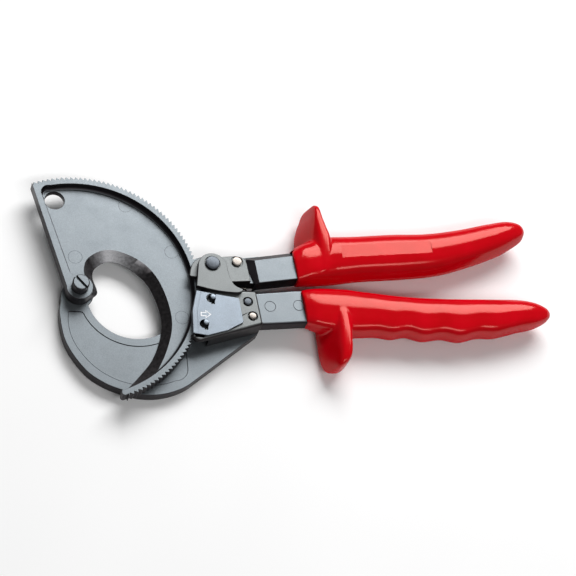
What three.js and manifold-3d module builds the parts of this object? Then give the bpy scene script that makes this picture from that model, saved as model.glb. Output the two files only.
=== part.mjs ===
// Ratchet cable cutter: a hooked fixed blade and a toothed moving blade on one pivot bolt,
// a pawl housing, and two dipped handles.
//
// Millimetres. The tool lies flat: X runs from the blades to the handle ends, Y across the
// tool and +Z is the front. The plan is drawn about the axis of the pivot bolt, and the whole
// group is moved at the end so that its origin is the middle of the underside of its box.

import * as THREE from 'three';
import { mergeVertices } from 'three/addons/utils/BufferGeometryUtils.js';
import Module from 'manifold-3d';

const wasm = await Module();
wasm.setup();

// ---------------------------------------------------------------- driving dimensions

const GAP = 0.3;              // between pieces that rest on each other
const RUN = 0.08;             // radial clearance of a running fit
const PLATE = 7;              // thickness of the fixed blade
const RIM_R = 65;             // tips of the ratchet teeth
const TOOTH_DEPTH = 1.3;
const TOOTH_PITCH = 2.24;     // degrees
const TOOTH_FIRST = 112;      // degrees, at the hanging corner
const TOOTH_LAST = -67;       // degrees, at the free end of the arm
const RIM_WIDTH = 4;          // thick band inside the teeth
const BLADE = 7.5;            // thickness of the moving blade at its rim
const WEB = 3.3;              // thickness of the moving blade inside the rim
const JAW_R = 25.5;           // hollow of the fixed blade
const JAW = [30.3, 0.9];      // centre of that hollow
const COVER = 3;              // thickness of the housing's front plate
const CHEEK = 2.8;            // cheek on top of it
const EYE = [69.7, 15];       // axis of the moving handle
const GRIP = 17.4;            // thickness of a dipped handle
const GRIP_ROUND = 3;
const PAST = 1;               // how far a cutting tool passes the face it opens

// levels, counted from the underside of the fixed blade
const BLADE_Z = PLATE + GAP;
const WEB_Z = BLADE_Z + WEB;
const RIM_Z = BLADE_Z + BLADE;
const COVER_Z = RIM_Z + 0.5;
const CHEEK_Z = COVER_Z + COVER;
const FRONT_Z = CHEEK_Z + CHEEK;
const EYE_PLATE = [RIM_Z + 0.35, CHEEK_Z - 0.4];
const FIXED_BAR = [BLADE_Z, COVER_Z - GAP];
const MOVING_BAR = [8, 17.2];
const TONGUE_Z = EYE_PLATE[0] - 0.35;
const RELEASE = [CHEEK_Z + GAP, CHEEK_Z + 1.2];
const PAWL = [BLADE_Z + GAP, RIM_Z - GAP];
const THROUGH = [-PAST, FRONT_Z + PAST];
const THROUGH_BLADE = [-PAST, PLATE + PAST];
const THROUGH_LID = [COVER_Z - PAST, CHEEK_Z + PAST];
const SHANK_Z = 0.2;          // rivets end this far above the underside

const STEEL = { color: 0x8f989d, roughness: 0.42, metalness: 0.85 };
const BLUED = { color: 0xa0b4c8, roughness: 0.3, metalness: 0.9 };
const HOUSING = { color: 0x84898a, roughness: 0.5, metalness: 0.8 };
const BRIGHT = { color: 0xd8d4cc, roughness: 0.25, metalness: 1 };
const WIRE = { color: 0xb9bcc0, roughness: 0.3, metalness: 1 };
const DIP = { color: 0xc8000f, roughness: 0.22, metalness: 0 };

// ---------------------------------------------------------------- solids

// a closed three.js geometry as a solid that can be joined and cut
function solid(geometry) {
  const bare = geometry.clone();
  bare.deleteAttribute('normal');
  bare.deleteAttribute('uv');
  const merged = mergeVertices(bare, 1e-4);
  const vertProperties = Float32Array.from(merged.attributes.position.array);
  const triVerts = Uint32Array.from(merged.index.array);
  return new wasm.Manifold(new wasm.Mesh({ numProp: 3, vertProperties, triVerts }));
}

// a solid back as a three.js geometry
function surface(body) {
  const mesh = body.getMesh();
  const geometry = new THREE.BufferGeometry();
  geometry.setAttribute('position', new THREE.BufferAttribute(mesh.vertProperties, 3));
  geometry.setIndex(new THREE.BufferAttribute(mesh.triVerts, 1));
  geometry.computeVertexNormals();
  return geometry;
}

// a flat outline given thickness from level low to level high
function plate(outline, [low, high], segments = 6) {
  const geometry = new THREE.ExtrudeGeometry(outline, {
    depth: high - low,
    bevelEnabled: false,
    curveSegments: segments,
  });
  return solid(geometry.translate(0, 0, low));
}

// the same with its long edges rounded over; the outline is smooth and its points lie a
// little way apart, so that the rounding never folds over itself
function rounded(outline, [low, high], round, spacing = 4) {
  const count = Math.round(outline.getLength() / spacing);
  const even = new THREE.Shape(outline.getSpacedPoints(count).slice(0, -1));
  const geometry = new THREE.ExtrudeGeometry(even, {
    depth: high - low - 2 * round,
    bevelThickness: round,
    bevelSize: round,
    bevelOffset: -round,
    bevelSegments: 3,
  });
  return solid(geometry.translate(0, 0, low + round));
}

// a round bar standing along Z on the point [x, y]
function pin([x, y], radius, [low, high], sides = 32) {
  const geometry = new THREE.CylinderGeometry(radius, radius, high - low, sides);
  return solid(geometry.rotateX(Math.PI / 2).translate(x, y, (low + high) / 2));
}

// a turned piece standing along Z: profile of [radius, level] from axis to axis
function turned([x, y], profile, sides = 32) {
  const points = profile.map(([radius, level]) => new THREE.Vector2(radius, level));
  return solid(new THREE.LatheGeometry(points, sides).rotateX(Math.PI / 2).translate(x, y, 0));
}

// a box given by its low and high corners
function block(low, high) {
  const size = high.map((value, i) => value - low[i]);
  const middle = high.map((value, i) => (value + low[i]) / 2);
  return solid(new THREE.BoxGeometry(...size).translate(...middle));
}

// a wire of round section along a smooth path
function wire(points, radius, steps, sides = 8) {
  const section = new THREE.Shape();
  for (let i = 0; i < sides; i += 1) {
    const turn = (2 * Math.PI * i) / sides;
    const place = [radius * Math.cos(turn), radius * Math.sin(turn)];
    if (i === 0) section.moveTo(...place);
    else section.lineTo(...place);
  }
  section.closePath();
  const path = new THREE.CatmullRomCurve3(points.map((p) => new THREE.Vector3(...p)));
  return solid(new THREE.ExtrudeGeometry(section, { steps, extrudePath: path, bevelEnabled: false }));
}

// ---------------------------------------------------------------- outlines

const rad = THREE.MathUtils.degToRad;
const polar = (radius, degrees) => [radius * Math.cos(rad(degrees)), radius * Math.sin(rad(degrees))];
const vectors = (points) => points.map(([x, y]) => new THREE.Vector2(x, y));

// centre, radius and angles of the circle through three points
function circleThrough([ax, ay], [bx, by], [cx, cy]) {
  const d = 2 * (ax * (by - cy) + bx * (cy - ay) + cx * (ay - by));
  const a = ax * ax + ay * ay;
  const b = bx * bx + by * by;
  const c = cx * cx + cy * cy;
  const x = (a * (by - cy) + b * (cy - ay) + c * (ay - by)) / d;
  const y = (a * (cx - bx) + b * (ax - cx) + c * (bx - ax)) / d;
  return { x, y, radius: Math.hypot(ax - x, ay - y), clockwise: d < 0 };
}

// an outline that starts at a point and goes on by lines, arcs and smooth curves:
// ['line', end], ['arc', through, end], ['curve', ...points]
function outline(start, steps) {
  const shape = new THREE.Shape();
  shape.moveTo(...start);
  let here = start;
  for (const [kind, ...points] of steps) {
    const end = points[points.length - 1];
    if (kind === 'line') shape.lineTo(...end);
    if (kind === 'curve') shape.splineThru(vectors(points));
    if (kind === 'arc') {
      const circle = circleThrough(here, points[0], end);
      const from = Math.atan2(here[1] - circle.y, here[0] - circle.x);
      const to = Math.atan2(end[1] - circle.y, end[0] - circle.x);
      shape.absarc(circle.x, circle.y, circle.radius, from, to, circle.clockwise);
    }
    here = end;
  }
  shape.closePath();
  return shape;
}

// a strip of varying half width along a smooth centre line: stations of [x, y, half width]
function strip(stations, samples = 24) {
  const line = new THREE.CatmullRomCurve3(stations.map(([x, y, half]) => new THREE.Vector3(x, y, half)));
  const left = [];
  const right = [];
  const shape = new THREE.Shape();
  for (let i = 0; i <= samples; i += 1) {
    const way = line.getTangent(i / samples);
    const length = Math.hypot(way.x, way.y);
    const point = line.getPoint(i / samples);
    const side = [(-way.y / length) * point.z, (way.x / length) * point.z];
    left.push([point.x + side[0], point.y + side[1]]);
    right.unshift([point.x - side[0], point.y - side[1]]);
  }
  [...left, ...right].forEach((place, i) => (i === 0 ? shape.moveTo(...place) : shape.lineTo(...place)));
  shape.closePath();
  return shape;
}

// a solid between rings of equally many points, each at its own level
function loft(rings) {
  const count = rings[0].points.length;
  const positions = rings.flatMap(({ points, level }) => points.flatMap(([x, y]) => [x, y, level]));
  const faces = [];
  for (let k = 0; k + 1 < rings.length; k += 1) {
    for (let i = 0; i < count; i += 1) {
      const a = k * count + i;
      const b = k * count + ((i + 1) % count);
      faces.push(a, b, b + count, a, b + count, a + count);
    }
  }
  const capLow = THREE.ShapeUtils.triangulateShape(vectors(rings[0].points), []);
  const last = rings.length - 1;
  const capHigh = THREE.ShapeUtils.triangulateShape(vectors(rings[last].points), []);
  for (const [a, b, c] of capLow) faces.push(a, c, b);
  for (const [a, b, c] of capHigh) faces.push(last * count + a, last * count + b, last * count + c);
  const geometry = new THREE.BufferGeometry();
  geometry.setAttribute('position', new THREE.Float32BufferAttribute(positions, 3));
  geometry.setIndex(faces);
  return solid(geometry);
}

// points of a smooth curve through the given ones
function smooth(points, count) {
  return new THREE.SplineCurve(vectors(points)).getPoints(count).map((point) => [point.x, point.y]);
}

// ---------------------------------------------------------------- blades

const BOLT_R = 4;
const PIVOT = [0, 0];
const TANG_RIVETS = [[101.6, -5.5], [117.4, -4]];
const TANG_RIVET_R = 2.9;
const HOUSING_RIVETS = [[88.7, -5], [91, -13.3]];
const HOUSING_RIVET_R = 2.2;
const EYE_RIVET_R = 3;
const HOLD_PIN = [78.5, -12.2];
const DRIVE_PIN = [77.4, 9];
const PAWL_PIN_R = 1.6;
const PIN_HOLE_DEPTH = 3;     // of the holding pawl's pin in the fixed blade
const POCKET_DEPTH = 0.6;
const EDGE_LAND = 0.4;        // flat left at a cutting edge
const JAW_BEVEL = 5.6;        // width of the fixed blade's cutting bevel, on its underside

// the tang that carries the fixed handle, grown all round by an allowance
function tangOutline(allowance = 0) {
  const root = [80, -6.5, 6 + allowance];
  const middle = [100, -5.6, 6 + allowance];
  const end = [121.3 + allowance, -4, 5.2 + allowance];
  return strip([root, middle, end], 4);
}

function fixedBlade() {
  const hook = outline([5.5, -6.3], [
    ['arc', [8.37, 0], [0, 8.37]],
    ['arc', [-8.2, 1.6], [-8.9, -5]],
    ['curve', [-9.6, -12.4], [-6.3, -28.4], [3.2, -42.8], [13.6, -50.4], [25, -54.6]],
    ['arc', [40, -55.9], [58, -49.3]],
    ['line', [95.2, -18.8]],
    ['arc', [96.5, -17.2], [96.5, -14]],
    ['line', [96.5, 0.5]],
    ['line', [85, 2]],
    ['arc', [79.6, 23.5], [60, 22]],
    ['line', [56.2, 4]],
    ['arc', [32, -24.54], [5.5, -6.3]],
  ]);
  const pocket = outline([-5.6, -10.8], [
    ['line', [2.6, -10.8]],
    ['arc', [30.7, -28.9], [57.4, -13.4]],
    ['line', [57.4, -40]],
    ['arc', [56, -44.6], [51, -47.3]],
    ['arc', [35, -50.8], [1, -32.8]],
    ['arc', [-4.4, -21], [-5.6, -10.8]],
  ]);
  const edge = PLATE - EDGE_LAND;
  const bevel = turned(JAW, [[0, -PAST], [JAW_R + JAW_BEVEL, -PAST], [JAW_R, edge], [0, edge]], 56);
  let body = plate(hook, [0, PLATE], 14).add(plate(tangOutline(), [0, PLATE]));
  body = body.subtract(bevel).add(plate(tangOutline(), [0, PLATE]));
  body = body.subtract(plate(pocket, [PLATE - POCKET_DEPTH, PLATE + PAST], 12));
  body = body.subtract(pin(PIVOT, BOLT_R + GAP, THROUGH_BLADE));
  body = body.subtract(pin(EYE, EYE_RIVET_R + GAP, THROUGH_BLADE));
  body = body.subtract(pin(HOLD_PIN, PAWL_PIN_R + GAP, [PLATE - PIN_HOLE_DEPTH, PLATE + PAST], 20));
  for (const place of HOUSING_RIVETS) {
    body = body.subtract(pin(place, HOUSING_RIVET_R + GAP, THROUGH_BLADE, 24));
  }
  for (const place of TANG_RIVETS) {
    body = body.subtract(pin(place, TANG_RIVET_R + GAP, THROUGH_BLADE));
  }
  return body;
}

const BOSS_R = 7;
const HANG_HOLE = [-12.7, 52.3];
const HANG_HOLE_R = 5.2;
const CORNER = polar(RIM_R, TOOTH_FIRST + 0.8);
const CUT_EDGE = [
  [5.4, -4.4], [9.6, -0.9], [9.9, 2.2], [7.6, 9.6], [9.6, 15.2], [17.2, 19.2], [27.9, 15.1], [38.4, 4],
  [44, -16], [39, -36.4], [30, -48], [20, -56.2],
];
const BEVEL_TOP = [
  [4.6, -5.2], [6.8, -1.6], [6.9, 1.4], [2.8, 10.2], [5.2, 19.4], [16.8, 24.8], [32.8, 19.2], [43.4, 6.6],
  [49.1, -14.4], [42.6, -37.6], [32.4, -49], [20.8, -57.4],
];

// the mouth ring: one blade edge, closed by a loop outside the blade
function mouth(edge) {
  return [...smooth(edge, 44), [12, -66], [-14, -40], [-6, -14]].reverse();
}

function bladeOutline() {
  const shape = new THREE.Shape();
  shape.moveTo(...polar(BOSS_R - 0.4, 196));
  shape.lineTo(...CORNER);
  const teeth = Math.floor((TOOTH_FIRST - TOOTH_LAST) / TOOTH_PITCH);
  for (let i = 0; i < teeth; i += 1) {
    const angle = TOOTH_FIRST - i * TOOTH_PITCH;
    shape.lineTo(...polar(RIM_R - TOOTH_DEPTH, angle + 0.25 * TOOTH_PITCH));
    shape.lineTo(...polar(RIM_R, angle));
  }
  const endAngle = TOOTH_FIRST - teeth * TOOTH_PITCH;
  shape.lineTo(...polar(RIM_R - TOOTH_DEPTH, endAngle));
  const tip = polar(RIM_R - TOOTH_DEPTH, TOOTH_LAST - 1);
  shape.lineTo(...tip);
  shape.quadraticCurveTo(tip[0] - 2.4, tip[1] + 0.2, tip[0] - 3.4, tip[1] + 2.6);
  shape.lineTo(6, -4.6);
  shape.absarc(0, 0, BOSS_R - 1, rad(-40), rad(-150), true);
  return shape;
}

function movingBlade() {
  const inner = RIM_R - RIM_WIDTH;
  const recess = outline([-19.6, 53.6], [
    ['arc', [-18.9, 57.4], polar(inner, 104.6)],
    ['arc', polar(inner, 20), polar(inner, TOOTH_LAST + 1.5)],
    ['line', [16, -54]],
    ['line', [2, -12]],
    ['line', [0, 0]],
    ['line', [-1.6, 6.4]],
    ['arc', [-4.2, 7.4], [-5.6, 9.6]],
  ]);
  let body = plate(bladeOutline(), [BLADE_Z, RIM_Z]);
  body = body.subtract(plate(recess, [WEB_Z, RIM_Z + PAST], 40));
  body = body.subtract(loft([
    { points: mouth(CUT_EDGE), level: BLADE_Z - PAST },
    { points: mouth(CUT_EDGE), level: BLADE_Z + EDGE_LAND },
    { points: mouth(BEVEL_TOP), level: WEB_Z },
    { points: mouth(BEVEL_TOP), level: RIM_Z + PAST },
  ]));
  body = body.add(pin(PIVOT, BOSS_R, [BLADE_Z, RIM_Z], 48));
  body = body.subtract(pin(PIVOT, BOLT_R + RUN, THROUGH));
  body = body.subtract(pin(HANG_HOLE, HANG_HOLE_R, THROUGH));
  return body;
}

function pivotBolt() {
  const headR = 4.45;
  const headHeight = 5.8;
  const chamfer = 0.5;
  const slotWidth = 1.1;
  const slotDepth = 1.5;
  const slotTurn = rad(-48);
  const seat = RIM_Z + GAP;
  const top = seat + headHeight;
  const slot = new THREE.BoxGeometry(3 * headR, slotWidth, 2 * slotDepth);
  return turned(PIVOT, [
    [0, SHANK_Z], [BOLT_R - chamfer, SHANK_Z], [BOLT_R, SHANK_Z + chamfer], [BOLT_R, seat], [headR, seat],
    [headR, top - chamfer], [headR - chamfer, top], [0, top],
  ]).subtract(solid(slot.rotateZ(slotTurn).translate(0, 0, top)));
}

// ---------------------------------------------------------------- housing

const STUD_R = 1;
const STUDS = [[69.5, -4.1], [65.4, -19.1]];
const RELEASE_STROKE = 1.8;

function housingCover() {
  const lid = outline([65.2, 0.6], [
    ['line', [62.4, -12]],
    ['line', [62.4, -25.7]],
    ['line', [58.6, -25.7]],
    ['arc', [59.6, -27.4], [64.6, -28.3]],
    ['line', [95, -18.2]],
    ['arc', [96.2, -17.4], [96.2, -15.6]],
    ['line', [93.6, 1.6]],
    ['line', [84, 1.6]],
    ['line', [80, 0.9]],
  ]);
  const cheek = outline([60.8, 1.4], [
    ['line', [62.2, 14]],
    ['arc', [70, 21.1], [77.6, 14.6]],
    ['curve', [78.6, 8.6], [81.2, 3.2], [85.8, 0.9]],
    ['curve', [82, -1.4], [74, -1.1], [68, -0.2]],
  ]);
  const skirt = outline([76.6, -24.4], [
    ['line', [95, -18.2]],
    ['arc', [96.2, -17.4], [96.1, -16.9]],
    ['line', [92, -16.9]],
    ['line', [76.6, -21.6]],
  ]);
  let body = plate(lid, [COVER_Z, CHEEK_Z]);
  body = body.add(plate(cheek, [CHEEK_Z, FRONT_Z]));
  body = body.add(plate(skirt, [BLADE_Z, COVER_Z + 1]));
  body = body.subtract(pin(EYE, EYE_RIVET_R + GAP, THROUGH));
  body = body.subtract(pin(HOLD_PIN, PAWL_PIN_R + GAP, THROUGH_LID, 20));
  for (const place of HOUSING_RIVETS) {
    body = body.subtract(pin(place, HOUSING_RIVET_R + GAP, THROUGH_LID, 24));
  }
  for (const place of STUDS) {
    body = body.subtract(pin(place, STUD_R + GAP, THROUGH_LID, 16));
  }
  return body;
}

// a rivet with a low round head on the cover
function housingRivet(place) {
  const shank = HOUSING_RIVET_R;
  const head = shank + 0.6;
  const seat = CHEEK_Z + GAP;
  return turned(place, [
    [0, SHANK_Z], [shank, SHANK_Z], [shank, seat], [head, seat], [head - 0.2, seat + 0.6], [0, seat + 0.9],
  ], 24);
}

function handlePivotRivet() {
  const shank = EYE_RIVET_R;
  const head = 3.95;
  const seat = FRONT_Z + GAP;
  return turned(EYE, [
    [0, SHANK_Z], [shank, SHANK_Z], [shank, seat], [head, seat],
    [0.91 * head, seat + 1.1], [0.61 * head, seat + 1.9], [0, seat + 2.2],
  ]);
}

// the sliding plate, with a lip down its left side and two keyhole slots round the studs
function releasePlate() {
  const sheet = outline([60.9, -0.6], [
    ['line', [69.8, -1.9]],
    ['line', [82.6, -3.6]],
    ['arc', [83.5, -3.9], [83.8, -4.8]],
    ['line', [85.5, -17.6]],
    ['line', [77, -22.7]],
    ['line', [66.8, -26]],
    ['arc', [66, -26.2], [65, -26.1]],
    ['line', [58.4, -25.3]],
    ['line', [58.4, -12]],
  ]);
  const lip = outline([60.9, -0.6], [
    ['line', [58.4, -12]],
    ['line', [58.4, -25.3]],
    ['line', [59.4, -25.3]],
    ['line', [59.4, -12]],
    ['line', [61.9, -0.8]],
  ]);
  let body = plate(sheet, RELEASE).add(plate(lip, [COVER_Z + 0.5, RELEASE[1]]));
  for (const [x, y] of STUDS) {
    const eye = pin([x - RELEASE_STROKE / 2, y - 0.8], 2.6, [RELEASE[0] - 1, RELEASE[1] + 1], 24);
    const neck = block([x - 1.9, y - 4.6, RELEASE[0] - 1], [x + 1.6, y + 1.6, RELEASE[1] + 1]);
    body = body.subtract(eye).subtract(neck);
  }
  return body;
}

function releaseStud(place) {
  const under = RELEASE[1] + GAP;
  const foot = COVER_Z + 0.2;
  return turned(place, [[0, foot], [STUD_R, foot], [STUD_R, under], [STUD_R + 0.5, under],
    [STUD_R + 0.5, under + 0.7], [0, under + 0.9]], 20);
}

// ---------------------------------------------------------------- pawls

const PAWL_EYE_R = 3.2;
const TIP_CLEAR = 0.6;        // from the tooth tips to a pawl's point
const DRIVE_TIP = -5;         // degrees round the bolt
const HOLD_TIP = -21;
const PAWL_WIRE = 0.4;

// a pawl: a round eye on its pin, and an arm that narrows to a point beside the teeth
function pawl(eye, tipAngle) {
  const tip = polar(RIM_R + TIP_CLEAR, tipAngle);
  const way = [tip[0] - eye[0], tip[1] - eye[1]];
  const length = Math.hypot(...way);
  const along = way.map((value) => value / length);
  const across = [-along[1], along[0]];
  const at = (reach, side) => [0, 1].map((k) => eye[k] + along[k] * reach + across[k] * side);
  const arm = outline(at(0, PAWL_EYE_R), [
    ['line', at(0, -PAWL_EYE_R)],
    ['line', at(length * 0.6, -2.2)],
    ['line', tip],
    ['line', at(length * 0.86, 2.6)],
  ]);
  return plate(arm, PAWL)
    .add(pin(eye, PAWL_EYE_R, PAWL, 24))
    .subtract(pin(eye, PAWL_PIN_R + RUN, THROUGH, 20));
}

function pawlPin(place, [low, high]) {
  return pin(place, PAWL_PIN_R, [low, high], 20);
}

function drivePawlSpring() {
  const level = (PAWL[0] + PAWL[1]) / 2;
  const path = [[81.9, 13.4, level], [82.4, 8, level], [79.4, 3.6, level], [75.6, 1, level]];
  return wire(path, PAWL_WIRE, 16);
}

function holdingPawlSpring() {
  const level = (PAWL[0] + PAWL[1]) / 2;
  const path = [[83.7, -10, level], [83.9, -15, level], [80.4, -18.8, level], [75.4, -19.1, level]];
  return wire(path, PAWL_WIRE, 16);
}

// ---------------------------------------------------------------- handles

const SPRING_X = 87.6;
const SPRING_LEVEL = 11.2;
const SPRING_R = 2.1;
const SPRING_WIRE = 0.4;
const SPRING_Y = [-1.2, 6.6];     // middle of the wire at each end

const FIXED_LINE = [[97, -7, 9.4], [120, -4.4, 9.6], [150, -6, 8.2], [190, -6.8, 7.2], [226, -4.6, 6.4],
  [250, -2.4, 5]];
const MOVING_LINE = [[94.2, 15.2, 8.5], [117, 19.4, 8.6], [150, 25.8, 7.8], [190, 31.2, 7], [222, 39.6, 6],
  [240, 46.4, 5]];

const grown = (line, allowance) => line.map(([x, y, half], i) =>
  [x + (i === 0 ? -10 : 0) + (i === line.length - 1 ? allowance : 0), y, half + allowance]);

function fixedHandleBar() {
  const root = outline([84.6, -14.4], [
    ['line', [92.4, -16.5]],
    ['line', [100, -16.1]],
    ['line', [100, 2.4]],
    ['line', [84.6, 1.1]],
  ]);
  const seatR = SPRING_R + SPRING_WIRE + 0.5;
  const seatHeight = 8;
  const seat = new THREE.CylinderGeometry(seatR, seatR, seatHeight, 20);
  const bore = solid(seat.translate(SPRING_X, SPRING_Y[0] - GAP + seatHeight / 2, SPRING_LEVEL));
  let body = plate(root, FIXED_BAR).add(plate(strip(FIXED_LINE), FIXED_BAR));
  body = body.subtract(bore);
  for (const place of HOUSING_RIVETS) {
    body = body.subtract(pin(place, HOUSING_RIVET_R + GAP, THROUGH, 24));
  }
  for (const place of TANG_RIVETS) {
    body = body.subtract(pin(place, TANG_RIVET_R + GAP, THROUGH));
  }
  return body;
}

function tangRivet(place) {
  return pin(place, TANG_RIVET_R, [SHANK_Z, FIXED_BAR[1]]);
}

const EYE_PLATE_RIVET = [83.8, 18.4];
const EYE_PLATE_RIVET_R = 2.2;

function movingHandleBar() {
  const tongue = outline([83.2, 20.8], [
    ['line', [83.2, 7.4]],
    ['line', [96, 7.6]],
    ['line', [97, 23.9]],
    ['line', [87, 22.2]],
  ]);
  const whole = plate(strip(MOVING_LINE), MOVING_BAR);
  // the step down to the tongue, drawn in X and Z from the middle of its slope
  const [rampX, rampY] = [92, 15];
  const barTurn = rad(9);
  const wide = 60;
  const [back, foot, head] = [-12, -2.4, 2];
  const above = MOVING_BAR[1] + 2 * PAST;
  const ramp = outline([back, TONGUE_Z], [
    ['line', [foot, TONGUE_Z]],
    ['line', [head, MOVING_BAR[1]]],
    ['line', [head, above]],
    ['line', [back, above]],
  ]);
  const across = new THREE.ExtrudeGeometry(ramp, { depth: wide, bevelEnabled: false });
  const cut = solid(across.rotateX(Math.PI / 2).translate(0, wide / 2, 0)
    .rotateZ(barTurn).translate(rampX, rampY, 0));
  return whole.add(plate(tongue, MOVING_BAR))
    .subtract(cut)
    .subtract(pin(EYE_PLATE_RIVET, EYE_PLATE_RIVET_R + GAP, THROUGH, 24));
}

function handleEyePlate() {
  const shape = outline([61.6, 8], [
    ['arc', [70, 4.6], [78, 6]],
    ['line', [91, 7.3]],
    ['curve', [90, 13.4], [89, 18.6], [86.8, 21.2], [83, 21.9]],
    ['line', [72, 20.6]],
    ['curve', [66, 20.4], [62, 18.6], [59, 14.8], [57.7, 9]],
    ['line', [58.3, 8.2]],
  ]);
  return plate(shape, EYE_PLATE)
    .subtract(pin(EYE, EYE_RIVET_R + RUN, THROUGH))
    .subtract(pin(DRIVE_PIN, PAWL_PIN_R + GAP, THROUGH, 20))
    .subtract(pin(EYE_PLATE_RIVET, EYE_PLATE_RIVET_R + GAP, THROUGH, 24));
}

function eyePlateRivet() {
  const seat = EYE_PLATE[1] + GAP;
  const shank = EYE_PLATE_RIVET_R;
  return turned(EYE_PLATE_RIVET, [[0, MOVING_BAR[0]], [shank, MOVING_BAR[0]], [shank, seat], [2.6, seat],
    [2.4, seat + 0.4], [0, seat + 0.6]], 24);
}

// a coil spring standing along Y, pressed between the fixed bar and the tongue
function handleReturnSpring() {
  const turns = 4;
  const perTurn = 12;
  const [low, high] = SPRING_Y;
  const coil = [];
  for (let i = 0; i <= turns * perTurn; i += 1) {
    const turn = (2 * Math.PI * i) / perTurn;
    const y = low + ((high - low) * i) / (turns * perTurn);
    coil.push([SPRING_X + SPRING_R * Math.cos(turn), y, SPRING_LEVEL + SPRING_R * Math.sin(turn)]);
  }
  return wire(coil, SPRING_WIRE, turns * perTurn, 6);
}

// dipped grips: outline of handle and finger guard, rounded, with a socket for the bar
function movingHandleGrip() {
  const shape = outline([114.4, 28], [
    ['curve', [118.2, 31], [118, 38], [120.6, 45.9], [124.6, 53.8], [127.6, 56.2], [130.6, 53.6],
      [132, 46.6], [135.6, 38.8], [141, 37.6], [150, 38.7], [171.7, 41.4], [192.2, 43.2], [213.2, 47.6],
      [234.6, 53.4], [243.6, 54.2], [249.6, 51.8], [251.2, 48.2], [248.4, 43.4], [235.4, 34.8],
      [216.7, 26.7], [198.5, 20.6], [177.9, 17.1], [154.7, 14.3], [138, 11.2], [117.4, 8.9]],
  ]);
  const middle = (MOVING_BAR[0] + MOVING_BAR[1]) / 2;
  const socket = plate(strip(grown(MOVING_LINE, GAP)), [MOVING_BAR[0] - GAP, MOVING_BAR[1] + GAP]);
  return rounded(shape, [middle - GRIP / 2, middle + GRIP / 2], GRIP_ROUND).subtract(socket);
}

function fixedHandleGrip() {
  const shape = outline([118.4, 5.8], [
    ['line', [121.4, -14.4]],
    ['curve', [124, -16.6], [127.6, -18.4], [128.4, -26], [129.6, -34.4], [134.2, -38.6], [140, -35.6],
      [143.2, -28.6], [144.6, -20.4], [152, -18.9], [165, -18.9], [178, -18], [190, -19], [203, -18.1],
      [214, -17.5], [227, -14.9], [242.4, -11], [257.6, -6.2], [262.6, -1], [261.8, 2.6], [255.4, 5.6],
      [244.5, 7], [209.2, 5.2], [180, 4.6], [152.1, 6.4], [135.4, 7.4], [118.4, 5.8]],
  ]);
  const middle = (FIXED_BAR[0] + FIXED_BAR[1]) / 2;
  const socket = plate(strip(grown(FIXED_LINE, GAP)), [FIXED_BAR[0] - GAP, FIXED_BAR[1] + GAP]);
  return rounded(shape, [middle - GRIP / 2, middle + GRIP / 2], GRIP_ROUND)
    .subtract(socket)
    .subtract(plate(tangOutline(GAP), [-1, FIXED_BAR[0]]));
}

// ---------------------------------------------------------------- assembly

const cutter = new THREE.Group();

function piece(name, body, look, parent = cutter) {
  const mesh = new THREE.Mesh(surface(body), new THREE.MeshStandardMaterial(look));
  mesh.name = name;
  parent.add(mesh);
}

piece('fixed_blade', fixedBlade(), STEEL);
piece('moving_blade', movingBlade(), STEEL);
piece('pivot_bolt', pivotBolt(), STEEL);
piece('housing_cover', housingCover(), HOUSING);
piece('housing_rivet_upper', housingRivet(HOUSING_RIVETS[0]), STEEL);
piece('housing_rivet_lower', housingRivet(HOUSING_RIVETS[1]), BRIGHT);
piece('handle_pivot_rivet', handlePivotRivet(), STEEL);
piece('release_plate', releasePlate(), BLUED);
piece('release_stud_upper', releaseStud(STUDS[0]), BRIGHT);
piece('release_stud_lower', releaseStud(STUDS[1]), BRIGHT);
piece('drive_pawl', pawl(DRIVE_PIN, DRIVE_TIP), STEEL);
piece('drive_pawl_pin', pawlPin(DRIVE_PIN, [PAWL[0], EYE_PLATE[1]]), STEEL);
piece('drive_pawl_spring', drivePawlSpring(), WIRE);
piece('holding_pawl', pawl(HOLD_PIN, HOLD_TIP), STEEL);
piece('holding_pawl_pin', pawlPin(HOLD_PIN, [PLATE - PIN_HOLE_DEPTH + GAP, CHEEK_Z]), STEEL);
piece('holding_pawl_spring', holdingPawlSpring(), WIRE);
piece('moving_handle_bar', movingHandleBar(), STEEL);
piece('handle_eye_plate', handleEyePlate(), STEEL);
piece('eye_plate_rivet', eyePlateRivet(), BRIGHT);
piece('handle_return_spring', handleReturnSpring(), WIRE);
piece('fixed_handle_bar', fixedHandleBar(), STEEL);
piece('tang_rivet_inner', tangRivet(TANG_RIVETS[0]), STEEL);
piece('tang_rivet_outer', tangRivet(TANG_RIVETS[1]), STEEL);
piece('moving_handle_grip', movingHandleGrip(), DIP);
piece('fixed_handle_grip', fixedHandleGrip(), DIP);

const box = new THREE.Box3().setFromObject(cutter);
const middle = box.getCenter(new THREE.Vector3());
cutter.position.set(-middle.x, -middle.y, -box.min.z);

export default cutter;
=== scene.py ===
"""The looks of a ratchet cable cutter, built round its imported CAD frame.

Plan outlines are written in millimetres about the axis of the pivot bolt, with levels counted
from the underside of the tool, because every piece is drawn round that bolt. place_piece()
turns them into metres in the frame. All other values are in metres.
"""

import math

import bmesh
import bpy
from mathutils import Matrix, Vector


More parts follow.
